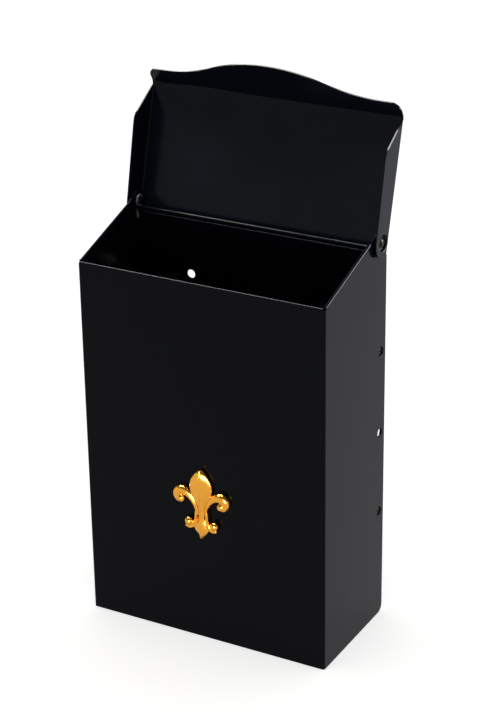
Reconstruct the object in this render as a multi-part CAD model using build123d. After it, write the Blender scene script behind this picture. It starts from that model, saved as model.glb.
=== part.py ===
from build123d import *
import os
from math import asin, atan2, cos, degrees, hypot, radians, sin, sqrt, tan

# Wall mounted mailbox of folded, enamelled steel sheet with a hinged, lipped lid.
#
# Frame, in millimetres: X runs to the right as one faces the mailbox, Y runs back to the wall, Z is up.
# The origin is the centre of the wall-mounting hole pattern, on the wall plane (Y = 0).
# The lid is modelled open, leaning back on its stop.

# ---------------------------------------------------------------- driving dimensions
SHEET = 0.8                 # thickness of all the steel sheet
BODY_WIDTH = 160.0
BODY_DEPTH = 78.5           # wall plane to front face
FRONT_HEIGHT = 230.0        # bottom edge to front rim
MOUNT_HEIGHT = 120.0        # bottom edge to the centre of the mounting holes

PIVOT_DEPTH = 68.3          # front face to hinge axis
PIVOT_HEIGHT = 245.7        # bottom edge to hinge axis
LID_LEAN = 15.2             # open lid, degrees past vertical
EDGE_RADIUS = 6.25          # hinge axis to the body's sloping edge and to its rear notch
LID_OFFSET = 6.4            # hinge axis to the lid's inner face, so the lid rests 0.15 above the edges

BEND_OUTER = 1.5            # outer radius of the folded corners
HEM_BEAD = 0.95             # radius of a folded hem's round edge
HEM_RIDGE = 0.35            # how far the round end of its inner leg stands proud
FRONT_HEM = 8.0             # how far each hem is folded down
SIDE_HEM = 4.0
BACK_HEM = 4.0
CORNER_NOTCH = 1.6          # the front hem stops this far short of each side's outer face
CORNER_NOTCH_DEPTH = 1.2
SIDE_HEM_START = 2.2        # front corner to the side hem, and the side hem to the hinge's rounding
SIDE_HEM_STOP = 9.0
REAR_CORNER_ROUND = 5.0     # lower rear corners, of the sides and of the back panel's flanges
NOTCH_CORNER_ROUND = 3.0    # upper rear corners of the sides

RECESS = 12.0               # wall plane to the back panel's rear face
RIVET_INSET = 6.1           # wall plane to the side rivets
RIVET_HEIGHTS = {"lower": 71.5, "upper": 176.6}
TOOLING_HOLE_HEIGHT = 124.0
TOOLING_HOLE_RADIUS = 3.0
BACK_PANEL_HEIGHT = 243.9
BACK_CLEARANCE = 0.4        # the back panel's flanges stop short of the wall and of the bottom edge
BACK_TOP_INSET = 1.0        # its part above the flanges is narrower by this on each side
FLANGE_DROP = 2.0           # notch behind the hinge to the flanges' tops

MOUNT_SPACING_X = 100.0
MOUNT_SPACING_Z = 160.0
MOUNT_HOLE_RADIUS = 2.75
BOSS_TOP = 7.0              # radius of each mounting boss at the wall and at its foot
BOSS_FOOT = 12.5
BOSS_WALL = 0.5             # radial thickness of its sloping wall, less the slope

FLOOR_RISE = 1.0            # bottom edge to the underside of the bottom panel
FLOOR_FLANGE = 8.0
CORNER_RELIEF = 2.0
DRAIN_RADIUS = 2.5
DRAIN_SPACING = 50.0

LID_SIDE_GAP = 1.7          # body side to the lid's ear
LID_TAIL = 6.5              # how far the lid's panel runs past the hinge axis
LID_TAIL_GAP = 0.8          # the panel's tail to the bottom of the notch
EAR_RADIUS = 9.1
EAR_WIDEST = 11.3           # the ear's front edge below the hinge axis line, at the bevel
BEVEL_START = 51.0          # hinge axis to the bevel's start
BEVEL_ROUND = 9.0
CREASE = 71.3               # hinge axis to the crease of the lip
LIP_ANGLE = 46.0
LIP_BEND = 4.5              # inner radius of the crease
LIP_END = 10.9              # lip length at its ends
LIP_RISE = 15.6             # extra length in the middle of the lip
LIP_SWELL = 72.0            # half width of the middle swell
LIP_CORNER = 6.0
LIP_HALF_WIDTH = 82.2

RUNNING_CLEARANCE = 0.05
HINGE_SHANK = 1.6
HINGE_HEAD = 2.7
HINGE_HEAD_SHOULDER = 0.6   # height of the head's straight rim
HINGE_HEAD_THICKNESS = 1.3
HINGE_HEAD_FLAT = 1.6       # radius of the flat on top of the head
HINGE_TAIL = 2.7
HINGE_TAIL_THICKNESS = 1.2
HINGE_TAIL_CHAMFER = 0.5
WASHER_RADIUS = 4.0
WASHER_THICKNESS = 0.6
CUP_MOUTH = 5.2             # radius of the ear's pressed cup at its mouth and at its floor
CUP_FLOOR = 4.3
CUP_RIM = 1.0               # flat ring of the ear round the cup's mouth
CUP_ROUND = 0.8

DIMPLE_MOUTH = 3.3          # radius of the pressed dimple round each side rivet
DIMPLE_FLOOR = 2.3
DIMPLE_DEPTH = 1.2
DIMPLE_ROUND = 0.35
NEST_STEP = 0.5             # a dimple's back is this much wider than its front
RIVET_SHANK = 1.3
RIVET_BORE = 0.7
RIVET_HEAD = 2.1
RIVET_HEAD_THICKNESS = 0.5
RIVET_TAIL = 2.0
RIVET_TAIL_THICKNESS = 0.8
RIVET_CHAMFER = 0.4

EMBLEM_HEIGHT = 91.9        # bottom edge to the emblem's centre
EMBLEM_HALF_HEIGHT = 23.0
EMBLEM_PLATE = 3.2          # height of its petals and scrolls
EMBLEM_RIDGE = 4.8          # height of the spear's ridge, which falls away to each side
EMBLEM_FALL = 2.6
EMBLEM_FALL_REACH = 10.0
EMBLEM_BALL = 3.0
PETAL_BALL = (14.0, 0.8)    # places of the balls, across and up from the emblem's centre
SCROLL_BALL = (8.5, -13.2)
STUD_OFFSET = 9.0
STUD_RADIUS = 1.25
STUD_LENGTH = 3.4
STUD_ROOT = 1.0             # how deep the stud starts inside the casting
STUD_HOLE_RADIUS = 1.4
NUT_RADIUS = 4.5
NUT_THICKNESS = 0.6
NUT_TEETH = 1.0             # width of the nut's dished inner ring

# ---------------------------------------------------------------- derived places
FRONT_Y = -BODY_DEPTH
BOTTOM_Z = -MOUNT_HEIGHT
RIM_Z = BOTTOM_Z + FRONT_HEIGHT
HALF_WIDTH = BODY_WIDTH / 2
INNER_HALF = HALF_WIDTH - SHEET
PIVOT = Vector(0, FRONT_Y + PIVOT_DEPTH, BOTTOM_Z + PIVOT_HEIGHT)

RIM_TO_PIVOT = hypot(PIVOT_DEPTH, PIVOT_HEIGHT - FRONT_HEIGHT)
SLOPE = degrees(atan2(PIVOT_HEIGHT - FRONT_HEIGHT, PIVOT_DEPTH) + asin(EDGE_RADIUS / RIM_TO_PIVOT))
SLOPE_DIR = Vector(0, cos(radians(SLOPE)), sin(radians(SLOPE)))
SLOPE_UP = Vector(0, -sin(radians(SLOPE)), cos(radians(SLOPE)))
SLOPE_LENGTH = sqrt(RIM_TO_PIVOT**2 - EDGE_RADIUS**2)

LID_ALONG = Vector(0, sin(radians(LID_LEAN)), cos(radians(LID_LEAN)))
LID_OUT = Vector(0, cos(radians(LID_LEAN)), -sin(radians(LID_LEAN)))
LID_HALF = HALF_WIDTH + LID_SIDE_GAP + SHEET
NOTCH_BOTTOM = PIVOT + LID_OUT * EDGE_RADIUS - LID_ALONG * (LID_TAIL + LID_TAIL_GAP)

BEND_INNER = BEND_OUTER - SHEET
FLANGE_TOP_Z = NOTCH_BOTTOM.Z - FLANGE_DROP
REACH = BODY_WIDTH          # longer than any cut needs
TOLERANCE = 0.01            # for telling radii apart

X_AXIS = Vector(1, 0, 0)
Y_AXIS = Vector(0, 1, 0)


# ---------------------------------------------------------------- shared shapes
def block(x_range, y_range, z_range):
    """Box between two corners, given as ranges along each axis."""
    low = (x_range[0], y_range[0], z_range[0])
    size = (x_range[1] - x_range[0], y_range[1] - y_range[0], z_range[1] - z_range[0])
    return Pos(*low) * Box(*size, align=(Align.MIN, Align.MIN, Align.MIN))


def turned(outline, centre, along):
    """Solid turned about an axis, from points of (distance along the axis, radius)."""
    across = X_AXIS if along.Y else Vector(0, -1, 0)
    plane = Plane(origin=centre, x_dir=along, z_dir=across)
    section = plane * make_face(Polyline(*outline, close=True))
    return revolve(section, Axis(centre, along))


def bore(radius, centre, along):
    """Cylinder through everything along an axis, to cut a hole with."""
    return turned([(-REACH, 0), (REACH, 0), (REACH, radius), (-REACH, radius)], centre, along)


def both_sides(shape):
    """A shape on the right side together with its mirror image on the left."""
    return [shape, mirror(shape, about=Plane.YZ)]


def channel(half_width, y_range, bend_at_front):
    """Plan of a sheet folded into a U: a web with two flanges."""
    depth = y_range[1] - y_range[0]
    middle = (y_range[0] + y_range[1]) / 2
    outer = Pos(0, middle) * Rectangle(2 * half_width, depth)
    inner = Pos(0, middle + SHEET) * Rectangle(2 * (half_width - SHEET), depth)
    outer = fillet(outer.vertices().group_by(Axis.Y)[0], bend_at_front)
    inner = fillet(inner.vertices().group_by(Axis.Y)[0], bend_at_front - SHEET)
    return outer - inner


def hem(edge_start, along, inward, length, width):
    """Sheet edge folded back on itself: a round bead and an inner leg with a proud, round end."""
    ring = Pos(HEM_BEAD, -HEM_BEAD) * (Circle(HEM_BEAD) - Circle(HEM_BEAD - SHEET))
    upper_half = Pos(HEM_BEAD, 0) * Rectangle(4 * HEM_BEAD, 2 * HEM_BEAD)
    leg_length = width - HEM_BEAD
    leg = Pos(2 * HEM_BEAD - SHEET / 2, -HEM_BEAD - leg_length / 2) * Rectangle(SHEET, leg_length)
    ridge_radius = (SHEET + HEM_RIDGE) / 2
    ridge_centre = (2 * HEM_BEAD + HEM_RIDGE - ridge_radius, ridge_radius - HEM_BEAD - leg_length)
    section = (ring & upper_half) + leg + Pos(*ridge_centre) * Circle(ridge_radius)
    plane = Plane(origin=edge_start, x_dir=inward, z_dir=along)
    return extrude(plane * section, length)


# ---------------------------------------------------------------- body shell
def side_outline():
    """Side view of the body: sloping edge, round nose about the hinge, notch behind it."""
    def around_pivot(direction):
        point = PIVOT + direction * EDGE_RADIUS
        return (point.Y, point.Z)
    nose_start = around_pivot(SLOPE_UP)
    nose_middle = around_pivot((SLOPE_UP + LID_OUT).normalized())
    nose_end = around_pivot(LID_OUT)
    step = (NOTCH_BOTTOM.Y, NOTCH_BOTTOM.Z)
    edges = [
        Line((0, BOTTOM_Z), (FRONT_Y, BOTTOM_Z)),
        Line((FRONT_Y, BOTTOM_Z), (FRONT_Y, RIM_Z)),
        Line((FRONT_Y, RIM_Z), nose_start),
        ThreePointArc(nose_start, nose_middle, nose_end),
        Line(nose_end, step),
        Line(step, (0, NOTCH_BOTTOM.Z)),
        Line((0, NOTCH_BOTTOM.Z), (0, BOTTOM_Z)),
    ]
    outline = make_face(edges)
    for corner_z, radius in ((NOTCH_BOTTOM.Z, NOTCH_CORNER_ROUND), (BOTTOM_Z, REAR_CORNER_ROUND)):
        corner = outline.vertices().sort_by_distance((0, corner_z, 0))[0]
        outline = fillet(corner, radius)
    return outline


def rounded_mouth(pressed, mouth, radius):
    """A pressed ring with the circular edge of its mouth rounded."""
    circles = pressed.edges().filter_by(GeomType.CIRCLE)
    return fillet([edge for edge in circles if abs(edge.radius - mouth) < TOLERANCE], radius)


def dimple(face_x, growth):
    """Section of a sheet pressed inward round a side rivet, from its outer face at face_x.

    A sheet that nests behind another takes the first one's growth in radius.
    """
    mouth = DIMPLE_MOUTH + growth
    floor = DIMPLE_FLOOR + growth
    floor_x = face_x - DIMPLE_DEPTH
    return [
        (face_x, mouth + NEST_STEP),
        (face_x, mouth),
        (floor_x, floor),
        (floor_x, RIVET_SHANK),
        (floor_x - SHEET, RIVET_SHANK),
        (floor_x - SHEET, floor + NEST_STEP),
        (face_x - SHEET, mouth + NEST_STEP),
    ]


def rivet_centre(height):
    return Vector(0, -RIVET_INSET, BOTTOM_Z + height)


def with_dimples(sheet_part, face_x, growth):
    """Press the rivet dimples into both sides of a part whose outer faces are at face_x."""
    for height in RIVET_HEIGHTS.values():
        centre = rivet_centre(height)
        pressed_ring = turned(dimple(face_x, growth), centre, X_AXIS)
        ring = rounded_mouth(pressed_ring, DIMPLE_MOUTH + growth, DIMPLE_ROUND)
        sheet_part = sheet_part - bore(DIMPLE_MOUTH + growth + NEST_STEP, centre, X_AXIS)
        for pressed in both_sides(ring):
            sheet_part = sheet_part + pressed
    return sheet_part - bore(TOOLING_HOLE_RADIUS, rivet_centre(TOOLING_HOLE_HEIGHT), X_AXIS)


def make_body_shell():
    plan = channel(HALF_WIDTH, (FRONT_Y, 0), BEND_OUTER)
    walls = extrude(Pos(0, 0, BOTTOM_Z) * plan, PIVOT_HEIGHT + 2 * EDGE_RADIUS)
    side_plane = Plane(origin=(-REACH, 0, 0), x_dir=Y_AXIS, z_dir=X_AXIS)
    shell = walls & extrude(side_plane * side_outline(), 2 * REACH)

    hem_end = HALF_WIDTH - CORNER_NOTCH
    above_hem = (RIM_Z - HEM_BEAD, RIM_Z + HEM_BEAD)
    hem_depth = (FRONT_Y, FRONT_Y + 2 * HEM_BEAD)
    shell -= block((-hem_end, hem_end), hem_depth, above_hem)
    shell += hem(Vector(-hem_end, FRONT_Y, RIM_Z), X_AXIS, Y_AXIS, 2 * hem_end, FRONT_HEM)
    notch = block((hem_end, HALF_WIDTH), hem_depth, (RIM_Z - CORNER_NOTCH_DEPTH, RIM_Z + HEM_BEAD))
    for cut in both_sides(notch):
        shell -= cut

    hem_start = Vector(HALF_WIDTH, FRONT_Y, RIM_Z) + SLOPE_DIR * SIDE_HEM_START
    hem_length = SLOPE_LENGTH - SIDE_HEM_START - SIDE_HEM_STOP
    trim_plane = Plane(origin=hem_start, x_dir=-X_AXIS, z_dir=SLOPE_DIR)
    trim = Rectangle(4 * HEM_BEAD, 2 * HEM_BEAD)
    side_trim = extrude(trim_plane * trim, hem_length)
    side_hem = hem(hem_start, SLOPE_DIR, -X_AXIS, hem_length, SIDE_HEM)
    for cut, fold in zip(both_sides(side_trim), both_sides(side_hem)):
        shell = shell - cut + fold

    shell = with_dimples(shell, HALF_WIDTH, 0)
    shell -= bore(HINGE_SHANK, PIVOT, X_AXIS)
    for offset in (-STUD_OFFSET, STUD_OFFSET):
        shell -= bore(STUD_HOLE_RADIUS, Vector(0, FRONT_Y, BOTTOM_Z + EMBLEM_HEIGHT + offset), Y_AXIS)
    return shell


# ---------------------------------------------------------------- back and bottom panels
def make_back_panel():
    """Recessed panel with rearward flanges, a hemmed top and four bosses that reach the wall."""
    front_face = -RECESS - SHEET
    foot_z = BOTTOM_Z + BACK_CLEARANCE
    top_z = BOTTOM_Z + BACK_PANEL_HEIGHT
    web_half = INNER_HALF - BACK_TOP_INSET
    plan = channel(INNER_HALF, (front_face, -BACK_CLEARANCE), BEND_OUTER)
    panel = extrude(Pos(0, 0, foot_z) * plan, FLANGE_TOP_Z - foot_z)
    foot_edges = panel.edges().filter_by(Axis.X).group_by(Axis.Z)[0].group_by(Axis.Y)[-1]
    panel = fillet(foot_edges, REAR_CORNER_ROUND)
    panel += block((-web_half, web_half), (front_face, -RECESS), (foot_z, top_z - HEM_BEAD))
    panel += hem(Vector(web_half, -RECESS, top_z), -X_AXIS, -Y_AXIS, 2 * web_half, BACK_HEM)
    panel = with_dimples(panel, INNER_HALF, NEST_STEP)

    boss = [
        (0, MOUNT_HOLE_RADIUS),
        (0, BOSS_TOP),
        (-RECESS, BOSS_FOOT),
        (-RECESS, BOSS_FOOT + 2 * BOSS_WALL),
        (-RECESS - SHEET, BOSS_FOOT + 2 * BOSS_WALL),
        (-RECESS - SHEET, BOSS_FOOT - BOSS_WALL),
        (-SHEET, BOSS_TOP - BOSS_WALL),
        (-SHEET, MOUNT_HOLE_RADIUS),
    ]
    for x in (-MOUNT_SPACING_X / 2, MOUNT_SPACING_X / 2):
        for z in (-MOUNT_SPACING_Z / 2, MOUNT_SPACING_Z / 2):
            centre = Vector(x, 0, z)
            panel = panel - bore(BOSS_FOOT + 2 * BOSS_WALL, centre, Y_AXIS) + turned(boss, centre, Y_AXIS)
    return panel


def make_bottom_panel():
    """Tray with a low flange all round, open corners and drain holes."""
    y_range = (FRONT_Y + SHEET, -RECESS - SHEET)
    floor_z = BOTTOM_Z + FLOOR_RISE
    tray = block((-INNER_HALF, INNER_HALF), y_range, (floor_z, floor_z + FLOOR_FLANGE))
    tray = fillet(tray.faces().sort_by(Axis.Z)[0].edges(), BEND_OUTER)
    hollow = block(
        (-INNER_HALF + SHEET, INNER_HALF - SHEET),
        (y_range[0] + SHEET, y_range[1] - SHEET),
        (floor_z + SHEET, floor_z + 2 * FLOOR_FLANGE),
    )
    tray -= fillet(hollow.faces().sort_by(Axis.Z)[0].edges(), BEND_INNER)
    for x in (-INNER_HALF, INNER_HALF):
        for y in y_range:
            tray -= Pos(x, y, floor_z) * Box(2 * CORNER_RELIEF, 2 * CORNER_RELIEF, 4 * FLOOR_FLANGE)
    for x in (-DRAIN_SPACING, 0, DRAIN_SPACING):
        tray -= Pos(x, sum(y_range) / 2, floor_z) * Cylinder(DRAIN_RADIUS, 4 * SHEET)
    return tray


# ---------------------------------------------------------------- lid
def lid_plane(origin):
    """Side view of the open lid: x along the panel away from the hinge, y out through the panel."""
    return Plane(origin=origin, x_dir=LID_ALONG, z_dir=-X_AXIS)


def ear_outline():
    """Side view of the lid's panel with its ears: round about the hinge, widening, then bevelled."""
    top = LID_OFFSET + SHEET
    bend_low = top - BEND_OUTER
    bend_start = CREASE - LIP_BEND * tan(radians(LIP_ANGLE / 2))
    ear_end = (-sqrt(EAR_RADIUS**2 - bend_low**2), bend_low)
    widest = (BEVEL_START, -EAR_WIDEST)
    outline = make_face([
        ThreePointArc((0, -EAR_RADIUS), (-EAR_RADIUS, 0), ear_end),
        Line(ear_end, (-LID_TAIL, bend_low)),
        Line((-LID_TAIL, bend_low), (-LID_TAIL, top)),
        Line((-LID_TAIL, top), (bend_start, top)),
        Line((bend_start, top), (bend_start, bend_low)),
        Line((bend_start, bend_low), widest),
        Line(widest, (0, -EAR_RADIUS)),
    ])
    return fillet(outline.vertices().sort_by_distance((*widest, 0))[0], BEVEL_ROUND)


def lip_outline():
    """Front view of the lip from its crease: straight ends, round corners, a bell-shaped swell."""
    base = LIP_BEND * tan(radians(LIP_ANGLE / 2))
    half_turn = atan2(LIP_RISE, LIP_SWELL)
    arc_radius = LIP_SWELL / (2 * sin(2 * half_turn))
    top = LIP_END + LIP_RISE
    middle = (LIP_SWELL / 2, LIP_END + LIP_RISE / 2)
    sag = arc_radius * (1 - cos(half_turn))
    quarter = arc_radius * sin(half_turn)
    corner_start = (LIP_HALF_WIDTH - LIP_CORNER, LIP_END)
    corner_end = (LIP_HALF_WIDTH, LIP_END - LIP_CORNER)
    corner_middle = (
        LIP_HALF_WIDTH - LIP_CORNER * (1 - cos(radians(45))),
        LIP_END - LIP_CORNER * (1 - cos(radians(45))),
    )
    right_half = make_face([
        Line((0, base), (0, top)),
        ThreePointArc((0, top), (quarter, top - sag), middle),
        ThreePointArc(middle, (LIP_SWELL - quarter, LIP_END + sag), (LIP_SWELL, LIP_END)),
        Line((LIP_SWELL, LIP_END), corner_start),
        ThreePointArc(corner_start, corner_middle, corner_end),
        Line(corner_end, (LIP_HALF_WIDTH, base)),
        Line((LIP_HALF_WIDTH, base), (0, base)),
    ])
    return right_half + mirror(right_half, about=Plane.YZ)


def make_lid():
    """Panel with a folded ear along each side, a cup pressed in each ear, and a bent-up lip."""
    top = LID_OFFSET + SHEET
    tangent_length = LIP_BEND * tan(radians(LIP_ANGLE / 2))

    section = Pos(0, -top) * Rectangle(2 * LID_HALF, 4 * top)
    section = fillet(section.vertices().group_by(Axis.Y)[-1], BEND_OUTER)
    hollow = Pos(0, -top - SHEET) * Rectangle(2 * (LID_HALF - SHEET), 4 * top)
    hollow = fillet(hollow.vertices().group_by(Axis.Y)[-1], BEND_INNER)
    start = PIVOT - LID_ALONG * EAR_RADIUS
    across_plane = Plane(origin=start, x_dir=X_AXIS, z_dir=LID_ALONG)
    tray = extrude(across_plane * (section - hollow), EAR_RADIUS + CREASE)
    lid = tray & extrude(lid_plane(PIVOT + X_AXIS * REACH) * ear_outline(), 2 * REACH)

    bend_centre = (CREASE - tangent_length, LID_OFFSET - LIP_BEND)
    ring = Pos(*bend_centre) * (Circle(LIP_BEND + SHEET) - Circle(LIP_BEND))
    turn = radians(LIP_ANGLE)
    wedge = Pos(*bend_centre) * make_face(Polyline(
        (0, 0),
        (0, 4 * LIP_BEND),
        (4 * LIP_BEND * sin(turn), 4 * LIP_BEND * cos(turn)),
        close=True,
    ))
    bend_plane = lid_plane(PIVOT + X_AXIS * LIP_HALF_WIDTH)
    lid += extrude(bend_plane * (ring & wedge), 2 * LIP_HALF_WIDTH)

    crease = PIVOT + LID_ALONG * CREASE + LID_OUT * LID_OFFSET
    lip_dir = LID_ALONG * cos(turn) - LID_OUT * sin(turn)
    lip_out = LID_OUT * cos(turn) + LID_ALONG * sin(turn)
    lip_plane = Plane(origin=crease, x_dir=lip_dir.cross(lip_out), z_dir=lip_out)
    lid += extrude(lip_plane * lip_outline(), SHEET)

    cup_x = HALF_WIDTH + RUNNING_CLEARANCE
    cup = [
        (LID_HALF, CUP_MOUTH + CUP_RIM),
        (LID_HALF, CUP_MOUTH),
        (cup_x + SHEET, CUP_FLOOR),
        (cup_x + SHEET, HINGE_SHANK + RUNNING_CLEARANCE),
        (cup_x, HINGE_SHANK + RUNNING_CLEARANCE),
        (cup_x, CUP_FLOOR + NEST_STEP),
        (LID_HALF - SHEET, CUP_MOUTH + NEST_STEP),
        (LID_HALF - SHEET, CUP_MOUTH + CUP_RIM),
    ]
    lid -= bore(CUP_MOUTH + CUP_RIM, PIVOT, X_AXIS)
    for pressed in both_sides(rounded_mouth(turned(cup, PIVOT, X_AXIS), CUP_MOUTH, CUP_ROUND)):
        lid += pressed
    return lid


# ---------------------------------------------------------------- hinge and side rivets
def make_hinge_rivet():
    """Right-hand hinge rivet: head in the ear's cup, shank through the side, tail bucked inside."""
    head_x = HALF_WIDTH + SHEET + 2 * RUNNING_CLEARANCE
    tail_x = INNER_HALF - WASHER_THICKNESS
    tail_end = tail_x - HINGE_TAIL_THICKNESS
    return turned([
        (tail_end, 0),
        (tail_end, HINGE_TAIL - HINGE_TAIL_CHAMFER),
        (tail_end + HINGE_TAIL_CHAMFER, HINGE_TAIL),
        (tail_x, HINGE_TAIL),
        (tail_x, HINGE_SHANK),
        (head_x, HINGE_SHANK),
        (head_x, HINGE_HEAD),
        (head_x + HINGE_HEAD_SHOULDER, HINGE_HEAD),
        (head_x + HINGE_HEAD_THICKNESS, HINGE_HEAD_FLAT),
        (head_x + HINGE_HEAD_THICKNESS, 0),
    ], PIVOT, X_AXIS)


def make_hinge_washer():
    """Right-hand washer under the hinge rivet's tail."""
    return turned([
        (INNER_HALF - WASHER_THICKNESS, HINGE_SHANK),
        (INNER_HALF, HINGE_SHANK),
        (INNER_HALF, WASHER_RADIUS),
        (INNER_HALF - WASHER_THICKNESS, WASHER_RADIUS),
    ], PIVOT, X_AXIS)


def make_back_rivet(height):
    """Right-hand blind rivet: hollow, its head down in the side's dimple, its tail behind the flange."""
    seat_x = HALF_WIDTH - DIMPLE_DEPTH
    tail_x = seat_x - 2 * SHEET
    tail_end = tail_x - RIVET_TAIL_THICKNESS
    return turned([
        (tail_end, RIVET_BORE),
        (tail_end, RIVET_TAIL - RIVET_CHAMFER),
        (tail_end + RIVET_CHAMFER, RIVET_TAIL),
        (tail_x, RIVET_TAIL),
        (tail_x, RIVET_SHANK),
        (seat_x, RIVET_SHANK),
        (seat_x, RIVET_HEAD),
        (seat_x + RIVET_HEAD_THICKNESS, RIVET_HEAD - RIVET_CHAMFER),
        (seat_x + RIVET_HEAD_THICKNESS, RIVET_BORE),
    ], rivet_centre(height), X_AXIS)


# ---------------------------------------------------------------- emblem
def spear_half():
    """Right half of the emblem's upright: pointed petal, narrow waist, pointed foot."""
    return make_face([
        Line((0, -EMBLEM_HALF_HEIGHT), (0, EMBLEM_HALF_HEIGHT)),
        ThreePointArc((0, EMBLEM_HALF_HEIGHT), (5.2, 17.5), (7.6, 10.4)),
        ThreePointArc((7.6, 10.4), (6.0, 4.0), (3.0, -2.0)),
        ThreePointArc((3.0, -2.0), (3.4, -9.5), (5.0, -16.5)),
        ThreePointArc((5.0, -16.5), (3.0, -20.0), (0, -EMBLEM_HALF_HEIGHT)),
    ])


def side_petal():
    """Right-hand petal: a band that rises from the waist, arches over and curls down to a ball."""
    return make_face([
        ThreePointArc((2.0, -3.0), (5.6, 6.8), (13.0, 10.6)),
        ThreePointArc((13.0, 10.6), (17.6, 8.2), (19.0, 3.7)),
        ThreePointArc((19.0, 3.7), (17.4, -0.8), (13.8, -2.4)),
        ThreePointArc((13.8, -2.4), (11.3, -0.6), (11.4, 2.4)),
        ThreePointArc((11.4, 2.4), (6.6, 2.6), (4.0, -6.0)),
        Line((4.0, -6.0), (2.0, -3.0)),
    ])


def lower_scroll():
    """Right-hand scroll: runs down beside the foot and curls out to a ball."""
    return make_face([
        Line((2.0, -4.0), (3.6, -4.0)),
        ThreePointArc((3.6, -4.0), (5.3, -7.0), (5.4, -10.6)),
        ThreePointArc((5.4, -10.6), (8.6, -9.8), (11.5, -13.0)),
        ThreePointArc((11.5, -13.0), (8.4, -16.5), (4.6, -15.6)),
        Line((4.6, -15.6), (2.0, -4.0)),
    ])


def make_emblem():
    """Cast ornament with a ridged spear, two petals, two scrolls and two studs behind."""
    face_plane = Plane(origin=(0, FRONT_Y, BOTTOM_Z + EMBLEM_HEIGHT), x_dir=X_AXIS, z_dir=-Y_AXIS)
    upright = spear_half() + mirror(spear_half(), about=Plane.YZ)
    section_plane = Plane(origin=face_plane.origin, x_dir=X_AXIS, z_dir=Vector(0, 0, 1))
    eaves = EMBLEM_FALL - EMBLEM_RIDGE
    roof = make_face(Polyline(
        (-EMBLEM_FALL_REACH, 0),
        (-EMBLEM_FALL_REACH, eaves),
        (0, -EMBLEM_RIDGE),
        (EMBLEM_FALL_REACH, eaves),
        (EMBLEM_FALL_REACH, 0),
        close=True,
    ))
    ridged = extrude(section_plane * roof, EMBLEM_HALF_HEIGHT, both=True)
    emblem = ridged & extrude(face_plane * upright, EMBLEM_RIDGE)
    in_front = block((0, REACH), (FRONT_Y - REACH, FRONT_Y), (BOTTOM_Z, REACH))
    for outline, ball in ((side_petal(), PETAL_BALL), (lower_scroll(), SCROLL_BALL)):
        band = extrude(face_plane * outline, EMBLEM_PLATE)
        at = face_plane.from_local_coords((*ball, EMBLEM_RIDGE - EMBLEM_BALL))
        for side_piece in both_sides(band + (Pos(*at) * Sphere(EMBLEM_BALL) & in_front)):
            emblem += side_piece
    stud = [(-STUD_ROOT, 0), (STUD_LENGTH, 0), (STUD_LENGTH, STUD_RADIUS), (-STUD_ROOT, STUD_RADIUS)]
    for offset in (-STUD_OFFSET, STUD_OFFSET):
        centre = face_plane.origin + Vector(0, 0, offset)
        emblem += turned(stud, centre, Y_AXIS)
    return emblem


def make_emblem_nut(offset):
    """Push-on nut inside the front: a shallow dished disc gripping the stud."""
    return turned([
        (SHEET, NUT_RADIUS),
        (SHEET + NUT_THICKNESS, NUT_RADIUS),
        (SHEET + NUT_THICKNESS, STUD_RADIUS + NUT_TEETH),
        (SHEET + 2 * NUT_THICKNESS, STUD_RADIUS),
        (SHEET + NUT_THICKNESS, STUD_RADIUS),
        (SHEET, STUD_RADIUS + NUT_TEETH),
    ], Vector(0, FRONT_Y, BOTTOM_Z + EMBLEM_HEIGHT + offset), Y_AXIS)


# ---------------------------------------------------------------- all the nodes
def all_nodes():
    nodes = {
        "body_shell": make_body_shell(),
        "back_panel": make_back_panel(),
        "bottom_panel": make_bottom_panel(),
        "lid": make_lid(),
        "emblem": make_emblem(),
        "emblem_nut_lower": make_emblem_nut(-STUD_OFFSET),
        "emblem_nut_upper": make_emblem_nut(STUD_OFFSET),
    }
    sided = {"hinge_rivet": make_hinge_rivet(), "hinge_washer": make_hinge_washer()}
    for level, height in RIVET_HEIGHTS.items():
        sided[f"back_rivet_{level}"] = make_back_rivet(height)
    for name, right in sided.items():
        nodes[f"{name}_right"], nodes[f"{name}_left"] = both_sides(right)
    return nodes


os.makedirs("parts", exist_ok=True)
for name, shape in all_nodes().items():
    export_step(shape, f"parts/{name}.step")
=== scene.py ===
from math import cos, pi, radians, sin

import bmesh
import bpy
from mathutils import Matrix, Vector


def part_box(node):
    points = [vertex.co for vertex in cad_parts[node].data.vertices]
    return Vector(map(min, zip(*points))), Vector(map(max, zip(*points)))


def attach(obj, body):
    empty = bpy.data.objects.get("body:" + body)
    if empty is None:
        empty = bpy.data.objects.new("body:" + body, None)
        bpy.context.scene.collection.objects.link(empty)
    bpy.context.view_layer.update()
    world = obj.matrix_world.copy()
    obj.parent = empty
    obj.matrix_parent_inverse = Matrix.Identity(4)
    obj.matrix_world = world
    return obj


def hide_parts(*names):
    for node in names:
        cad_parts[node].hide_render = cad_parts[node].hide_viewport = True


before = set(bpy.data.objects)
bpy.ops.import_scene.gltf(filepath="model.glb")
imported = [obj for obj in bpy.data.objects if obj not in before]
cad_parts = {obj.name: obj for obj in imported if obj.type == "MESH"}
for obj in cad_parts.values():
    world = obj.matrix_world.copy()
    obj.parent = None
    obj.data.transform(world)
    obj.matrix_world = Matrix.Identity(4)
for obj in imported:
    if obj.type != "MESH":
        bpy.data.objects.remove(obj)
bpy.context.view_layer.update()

# Wall mounted mailbox. Everything is in metres, in the CAD frame: X right, Y back to the wall, Z up,
# with the origin on the wall plane at the centre of the mounting holes.

MM = 0.001
RIVET_NODES = tuple(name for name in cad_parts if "rivet" in name)
ZINC_NODES = tuple(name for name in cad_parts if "washer" in name or "nut" in name)

# ---------------------------------------------------------------- camera and stage
CAMERA_PLACE = Vector((0.54664, -1.00647, 0.54414))
CAMERA_AZIMUTH = 29.268
CAMERA_ELEVATION = 24.060
CAMERA_ROLL = -0.927
CAMERA_LENS = 103.485
SENSOR = 36.0

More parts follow.
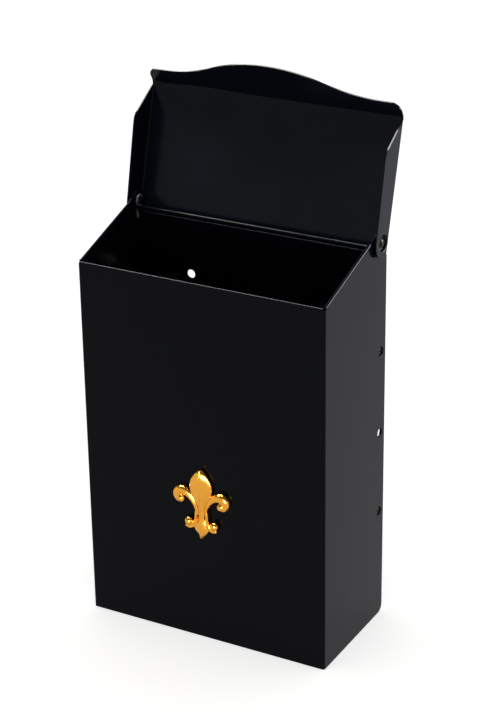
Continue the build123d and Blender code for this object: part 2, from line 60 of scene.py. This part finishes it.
FLOOR_REACH = 30.0
FLOOR_GLOW = 0.55           # the floor is a light table: a white sheet lit from below
SKY_AT_HORIZON = 1.4
SKY_OVERHEAD = 0.22
SKY_FADE = (0.05, 0.45)     # sine of the elevation where the sky starts and stops darkening

# Light panels: the pieces each one lights, direction from the mailbox, distance, width and length, radiance.
LAMP_COLOUR = (1.0, 0.98, 0.95)
LAMPS = {
    "softbox_overhead": ("mailbox", (-0.44, 0.10, 0.90), 1.6, (0.40, 1.9), 75.0),
    "ceiling": ("floor", (0, 0, 1), 1.8, (3.0, 3.0), 0.76),
    "ornament_card": ("ornament", (-0.36, -0.05, 0.93), 1.6, (0.55, 1.2), 50.0),
    "ornament_lamp": ("ornament", (0.36, -0.90, 0.10), 1.6, (0.6, 0.6), 40.0),
    "softbox_behind": ("mailbox", (0.77, 0.61, 0.17), 1.6, (0.9, 0.7), 38.0),
}


def make_camera():
    data = bpy.data.cameras.new("camera")
    data.sensor_fit = "VERTICAL"
    data.sensor_height = SENSOR
    data.sensor_width = SENSOR
    data.lens = CAMERA_LENS
    data.clip_start = 0.01
    data.clip_end = 100.0
    camera = bpy.data.objects.new("camera", data)
    bpy.context.scene.collection.objects.link(camera)
    turn = Matrix.Rotation(radians(CAMERA_AZIMUTH), 4, "Z")
    tilt = Matrix.Rotation(radians(90 - CAMERA_ELEVATION), 4, "X")
    roll = Matrix.Rotation(radians(CAMERA_ROLL), 4, "Z")
    camera.matrix_world = Matrix.Translation(CAMERA_PLACE) @ turn @ tilt @ roll
    bpy.context.scene.camera = camera


def make_lamp(name, direction, distance, size, radiance, lit):
    """Light panel aimed at the origin, which lights only the objects of one collection."""
    data = bpy.data.lights.new(name, "AREA")
    data.shape = "RECTANGLE"
    data.size, data.size_y = size
    data.energy = radiance * pi * size[0] * size[1]
    data.color = LAMP_COLOUR
    light = bpy.data.objects.new(name, data)
    bpy.context.scene.collection.objects.link(light)
    toward = Vector(direction).normalized()
    light.location = toward * distance
    light.rotation_euler = toward.to_track_quat("Z", "Y").to_euler()
    light.visible_camera = False
    light.light_linking.receiver_collection = lit


def make_world():
    """Soft white surroundings, bright at the horizon and dim overhead."""
    world = bpy.data.worlds.new("studio")
    world.use_nodes = True
    tree = world.node_tree
    background = tree.nodes["Background"]
    direction = tree.nodes.new("ShaderNodeTexCoord").outputs["Generated"]
    height = tree.nodes.new("ShaderNodeSeparateXYZ")
    fade = tree.nodes.new("ShaderNodeMapRange")
    fade.interpolation_type = "SMOOTHSTEP"
    fade.inputs["From Min"].default_value, fade.inputs["From Max"].default_value = SKY_FADE
    fade.inputs["To Min"].default_value = SKY_AT_HORIZON
    fade.inputs["To Max"].default_value = SKY_OVERHEAD
    tree.links.new(direction, height.inputs["Vector"])
    tree.links.new(height.outputs["Z"], fade.inputs["Value"])
    tree.links.new(fade.outputs["Result"], background.inputs["Strength"])
    background.inputs["Color"].default_value = (1.0, 1.0, 1.0, 1.0)
    bpy.context.scene.world = world
    bpy.context.scene.view_settings.view_transform = "Standard"


def mesh_object(name, bm):
    mesh = bpy.data.meshes.new(name)
    bm.to_mesh(mesh)
    bm.free()
    made = bpy.data.objects.new(name, mesh)
    bpy.context.scene.collection.objects.link(made)
    return made


def make_floor(height):
    bm = bmesh.new()
    bmesh.ops.create_grid(bm, x_segments=8, y_segments=8, size=FLOOR_REACH)
    bmesh.ops.translate(bm, vec=(0, 0, height), verts=bm.verts)
    floor = mesh_object("floor", bm)
    floor.data.materials.append(floor_material())
    return floor


# ---------------------------------------------------------------- materials
# Enamels: material name, darkest and lightest colour, specular level.
ENAMELS = {
    "body_shell": ("shell_enamel", (0.0010, 0.0013, 0.0026), (0.0013, 0.0017, 0.0034), 0.05),
    # The lid's lighter, bluer colour range is painted reflection: its mottle stands in for the soft streaky
    # sheen on the lid's inside, which is the same enamel as the body.
    "lid": ("lid_enamel", (0.0011, 0.0017, 0.0032), (0.0024, 0.0036, 0.0066), 0.058),
    "back_panel": ("back_enamel", (0.0012, 0.0016, 0.0028), (0.0016, 0.0021, 0.0036), 0.06),
    "bottom_panel": ("bottom_enamel", (0.0012, 0.0016, 0.0028), (0.0016, 0.0021, 0.0036), 0.06),
}
RIVET_ENAMEL = ("rivet_enamel", (0.0022, 0.0024, 0.0028), (0.003, 0.0032, 0.0038), 0.06)
ENAMEL_ROUGHNESS = (0.15, 0.23)
ZINC_COLOURS = ((0.42, 0.43, 0.45), (0.62, 0.63, 0.66))
ZINC_ROUGHNESS = (0.25, 0.45)
GOLD_COLOURS = ((0.64, 0.28, 0.030), (0.72, 0.34, 0.045))
GOLD_ROUGHNESS = (0.10, 0.20)
FLOOR_COLOURS = ((0.90, 0.90, 0.90), (0.93, 0.93, 0.93))


class Shader:
    """A Principled material whose nodes are added by short calls."""

    def __init__(self, name):
        self.material = bpy.data.materials.new(name)
        self.material.use_nodes = True
        self.tree = self.material.node_tree
        self.principled = self.tree.nodes["Principled BSDF"]
        self.coordinates = self.node("ShaderNodeTexCoord").outputs["Object"]

    def node(self, kind, **settings):
        made = self.tree.nodes.new(kind)
        for key, value in settings.items():
            setattr(made, key, value)
        return made

    def link(self, output, target):
        self.tree.links.new(output, target)

    def set(self, socket, value):
        self.principled.inputs[socket].default_value = value

    def feed(self, socket, output):
        self.link(output, self.principled.inputs[socket])

    def noise(self, scale, detail=2.0, roughness=0.5):
        noise = self.node("ShaderNodeTexNoise")
        noise.inputs["Scale"].default_value = scale
        noise.inputs["Detail"].default_value = detail
        noise.inputs["Roughness"].default_value = roughness
        self.link(self.coordinates, noise.inputs["Vector"])
        return noise.outputs["Fac"]

    def remap(self, value, low, high, from_low=0.0, from_high=1.0):
        remap = self.node("ShaderNodeMapRange")
        remap.inputs["From Min"].default_value = from_low
        remap.inputs["From Max"].default_value = from_high
        remap.inputs["To Min"].default_value = low
        remap.inputs["To Max"].default_value = high
        self.link(value, remap.inputs["Value"])
        return remap.outputs["Result"]

    def mix_colours(self, factor, first, second):
        mix = self.node("ShaderNodeMix", data_type="RGBA")
        mix.inputs["A"].default_value = (*first, 1.0)
        mix.inputs["B"].default_value = (*second, 1.0)
        self.link(factor, mix.inputs["Factor"])
        return mix.outputs["Result"]

    def bump(self, height, distance, strength, under=None):
        bump = self.node("ShaderNodeBump")
        bump.inputs["Distance"].default_value = distance
        bump.inputs["Strength"].default_value = strength
        self.link(height, bump.inputs["Height"])
        if under:
            self.link(under, bump.inputs["Normal"])
        return bump.outputs["Normal"]


def enamel_material(name, dark, light, specular):
    """Black stoved enamel: orange peel, a slow waviness of the sheet and cloudy gloss."""
    shader = Shader(name)
    # Colour mottle between the darkest and lightest colour; on the lid its wider, lighter range is painted
    # reflection.
    shader.feed("Base Color", shader.mix_colours(shader.noise(60, 4), dark, light))
    shader.feed("Roughness", shader.remap(shader.noise(25, 3), *ENAMEL_ROUGHNESS, 0.3, 0.7))
    shader.set("Specular IOR Level", specular)
    waves = shader.bump(shader.noise(14, 1), 0.0006, 0.25)
    shader.feed("Normal", shader.bump(shader.noise(850, 2), 0.00003, 0.5, waves))
    return shader.material


def zinc_material():
    """Bright zinc plate with fine spangle."""
    shader = Shader("zinc_plate")
    shader.feed("Base Color", shader.mix_colours(shader.noise(400, 4), *ZINC_COLOURS))
    shader.set("Metallic", 1.0)
    shader.feed("Roughness", shader.remap(shader.noise(900, 3), *ZINC_ROUGHNESS))
    shader.feed("Normal", shader.bump(shader.noise(2500, 2), 0.00002, 0.4))
    return shader.material


def gold_material():
    """Polished gold plate over a slightly uneven casting."""
    shader = Shader("emblem_gold")
    shader.feed("Base Color", shader.mix_colours(shader.noise(180, 3), *GOLD_COLOURS))
    shader.set("Metallic", 1.0)
    shader.feed("Roughness", shader.remap(shader.noise(350, 3), *GOLD_ROUGHNESS))
    shader.feed("Normal", shader.bump(shader.noise(600, 2), 0.00004, 0.35))
    return shader.material


def floor_material():
    """White paper that also glows."""
    shader = Shader("floor_paper")
    shader.feed("Base Color", shader.mix_colours(shader.noise(3, 3), *FLOOR_COLOURS))
    shader.set("Roughness", 0.9)
    shader.set("Specular IOR Level", 0.1)
    shader.set("Emission Color", (1.0, 1.0, 1.0, 1.0))
    shader.set("Emission Strength", FLOOR_GLOW)
    return shader.material


# ---------------------------------------------------------------- edges
# Widths of the rounded edges, and the gap below which corners are welded, in metres.
SHEET_EDGE = 0.00026
RIVET_EDGE = 0.00015
ZINC_EDGE = 0.00008
WELD_GAP = 0.000002
SHARPEST_SMOOTH = 35        # degrees between faces above which an edge is rounded


def round_edges(node_name, width):
    """Weld the CAD faces together and round their sharp edges, as enamel and plating do."""
    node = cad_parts[node_name]
    normals = node.data.attributes.get("custom_normal")
    if normals:
        node.data.attributes.remove(normals)
    weld = node.modifiers.new("weld", "WELD")
    weld.merge_threshold = WELD_GAP
    bevel = node.modifiers.new("rounded_edges", "BEVEL")
    bevel.width = width
    bevel.segments = 2
    bevel.limit_method = "ANGLE"
    bevel.angle_limit = radians(SHARPEST_SMOOTH)
    bevel.use_clamp_overlap = True
    bevel.loop_slide = False
    bevel.harden_normals = False
    for polygon in node.data.polygons:
        polygon.use_smooth = True
    smooth = node.modifiers.new("weighted_normals", "WEIGHTED_NORMAL")
    smooth.keep_sharp = False


def finish_node(node_name, material, edge):
    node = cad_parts[node_name]
    node.data.materials.clear()
    node.data.materials.append(material)
    round_edges(node_name, edge)


# ---------------------------------------------------------------- emblem
# Measures in millimetres, from the emblem's centre and from the mailbox's front.
EMBLEM_VOXEL = 0.2 * MM
CURVE_STEPS = 6
STUD_PLACES = (-9.0, 9.0)
STUD_RADIUS = 1.25
SPEAR = (               # up, half width, height at the ridge, height at the edge
    (-23.0, 0.25, 3.0, 2.4),
    (-21.2, 1.7, 3.6, 2.6),
    (-18.8, 3.7, 4.0, 2.8),
    (-16.4, 4.9, 4.2, 2.9),
    (-13.4, 3.9, 4.2, 2.9),
    (-10.0, 2.4, 4.1, 3.0),
    (-6.0, 1.9, 4.1, 3.2),
    (-2.0, 2.3, 4.2, 3.2),
    (2.0, 4.3, 4.4, 3.2),
    (6.0, 6.6, 4.6, 3.1),
    (10.4, 7.5, 4.7, 3.0),
    (14.4, 6.9, 4.6, 2.9),
    (18.0, 4.9, 4.3, 2.7),
    (21.0, 2.2, 3.8, 2.5),
    (22.9, 0.25, 3.2, 2.2),
)
SPEAR_GROOVE = 0.4      # half width and depth of the incised midrib
SPEAR_BEVEL = 0.8
ARM = (                 # across, up, half width, height of the crest
    (2.6, -7.6, 0.8, 2.6),
    (3.1, -3.4, 1.2, 3.2),
    (4.9, 1.0, 1.6, 3.5),
    (8.3, 5.0, 2.2, 3.8),
    (12.4, 6.9, 2.9, 4.0),
    (15.6, 5.4, 3.0, 4.0),
    (16.5, 2.5, 2.5, 3.8),
    (15.3, 0.1, 1.9, 3.5),
    (13.2, -0.6, 1.5, 3.2),
)
ARM_BALL = (13.4, 1.2, 2.7, 4.5)    # across, up, radius, height of the top
SCROLL = (              # as ARM
    (2.3, -2.0, 0.7, 2.6),
    (3.5, -5.6, 1.0, 3.0),
    (3.9, -10.0, 1.1, 3.1),
    (5.0, -14.2, 1.3, 3.2),
    (7.6, -16.2, 1.3, 3.3),
    (10.4, -15.4, 1.3, 3.3),
)
SCROLL_BALL = (8.5, -12.9, 2.9, 4.5)
ROUND_SECTION = (       # across from the outer to the inner side, height, as parts of width and crest
    (-1.0, 0.0), (-1.0, 0.35), (-0.9, 0.62), (-0.68, 0.84), (-0.35, 0.97), (0.05, 1.0),
    (0.5, 0.98), (0.85, 0.86), (1.0, 0.6), (1.0, 0.0),
)


def smooth_path(points, steps):
    """Catmull-Rom curve through points of any number of values."""
    ends = [points[0], *points, points[-1]]
    path = []
    for before, start, end, after in zip(ends, ends[1:], ends[2:], ends[3:]):
        for step in range(steps):
            t = step / steps
            path.append(tuple(
                b + 0.5 * t * (c - a + t * (2 * a - 5 * b + 4 * c - d + t * (3 * (b - c) + d - a)))
                for a, b, c, d in zip(before, start, end, after)
            ))
    return path + [points[-1]]


class Relief:
    """Closed solids raised from the mailbox's front, measured from the emblem's centre."""

    def __init__(self, centre):
        self.centre = centre
        self.bm = bmesh.new()

    def corner(self, across, up, height):
        return self.bm.verts.new(self.centre + Vector((across, -height, up)) * MM)

    def loft(self, rings):
        """Solid through rings of corners, closed at both ends."""
        made = [[self.corner(*place) for place in ring] for ring in rings]
        for ring, following in zip(made, made[1:]):
            for i, corner in enumerate(ring):
                j = (i + 1) % len(ring)
                self.bm.faces.new((corner, ring[j], following[j], following[i]))
        self.bm.faces.new(made[0])
        self.bm.faces.new(made[-1])

    def band(self, points, side):
        """Half-round band along a curve, on the right (side 1) or the left (side -1)."""
        path = smooth_path(points, CURVE_STEPS)
        rings = []
        for i, (across, up, width, crest) in enumerate(path):
            before, after = path[max(i - 1, 0)], path[min(i + 1, len(path) - 1)]
            tangent = Vector((after[0] - before[0], after[1] - before[1])).normalized()
            outward = Vector((-tangent.y, tangent.x))
            rings.append([
                (side * (across - outward.x * s * width), up - outward.y * s * width, h * crest)
                for s, h in ROUND_SECTION
            ])
        self.loft(rings)

    def spear(self):
        rings = []
        for up, width, ridge, edge in smooth_path(SPEAR, CURVE_STEPS):
            bevel = min(SPEAR_BEVEL, 0.5 * width)
            groove = min(SPEAR_GROOVE, 0.3 * width)
            half = [(width, 0.0), (width, edge - 0.7 * bevel), (width - bevel, edge), (groove, ridge)]
            left = [(-across, up, height) for across, height in half]
            right = [(across, up, height) for across, height in reversed(half)]
            rings.append([*left, (0.0, up, ridge - groove), *right])
        self.loft(rings)

    def ball(self, place, side):
        across, up, radius, top = place
        centre = self.centre + Vector((side * across, radius - top, up)) * MM
        made = bmesh.ops.create_uvsphere(self.bm, u_segments=32, v_segments=20, radius=radius * MM)
        bmesh.ops.translate(self.bm, vec=centre, verts=made["verts"])

    def stud(self, up, radius, length):
        rings = []
        for height in (1.0, -length):
            rings.append([(radius * cos(a), up + radius * sin(a), height)
                          for a in (2 * pi * i / 24 for i in range(24))])
        self.loft(rings)


def make_emblem(material):
    """Cast and plated ornament: a grooved spear, two curled arms, two scrolls, and studs behind."""
    low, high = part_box("emblem")
    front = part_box("body_shell")[0].y
    relief = Relief(Vector((0, front, (low.z + high.z) / 2)))
    relief.spear()
    for side in (-1, 1):
        relief.band(ARM, side)
        relief.band(SCROLL, side)
        relief.ball(ARM_BALL, side)
        relief.ball(SCROLL_BALL, side)
    for up in STUD_PLACES:
        relief.stud(up, STUD_RADIUS, (high.y - front) / MM)
    bmesh.ops.recalc_face_normals(relief.bm, faces=relief.bm.faces)
    emblem = mesh_object("emblem_cast", relief.bm)
    emblem.data.materials.append(material)
    joined = emblem.modifiers.new("joined", "REMESH")
    joined.mode = "VOXEL"
    joined.voxel_size = EMBLEM_VOXEL
    joined.use_smooth_shade = True
    polished = emblem.modifiers.new("polished", "SMOOTH")
    polished.factor = 0.5
    polished.iterations = 4
    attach(emblem, "body")
    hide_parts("emblem")
    return emblem


# ---------------------------------------------------------------- the scene
def main():
    make_world()
    make_camera()
    floor = make_floor(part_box("body_shell")[0].z)

    for name, enamel in ENAMELS.items():
        finish_node(name, enamel_material(*enamel), SHEET_EDGE)
    rivet_enamel = enamel_material(*RIVET_ENAMEL)
    for name in RIVET_NODES:
        finish_node(name, rivet_enamel, RIVET_EDGE)
    zinc = zinc_material()
    for name in ZINC_NODES:
        finish_node(name, zinc, ZINC_EDGE)
    emblem = make_emblem(gold_material())

    groups = {
        "floor": (floor,),
        "mailbox": (*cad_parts.values(), emblem),
        "ornament": (emblem,),
    }
    lit = {group: bpy.data.collections.new(f"lit_{group}") for group in groups}
    for group, pieces in groups.items():
        for piece in pieces:
            lit[group].objects.link(piece)
    for name, (group, *settings) in LAMPS.items():
        make_lamp(name, *settings, lit[group])


main()
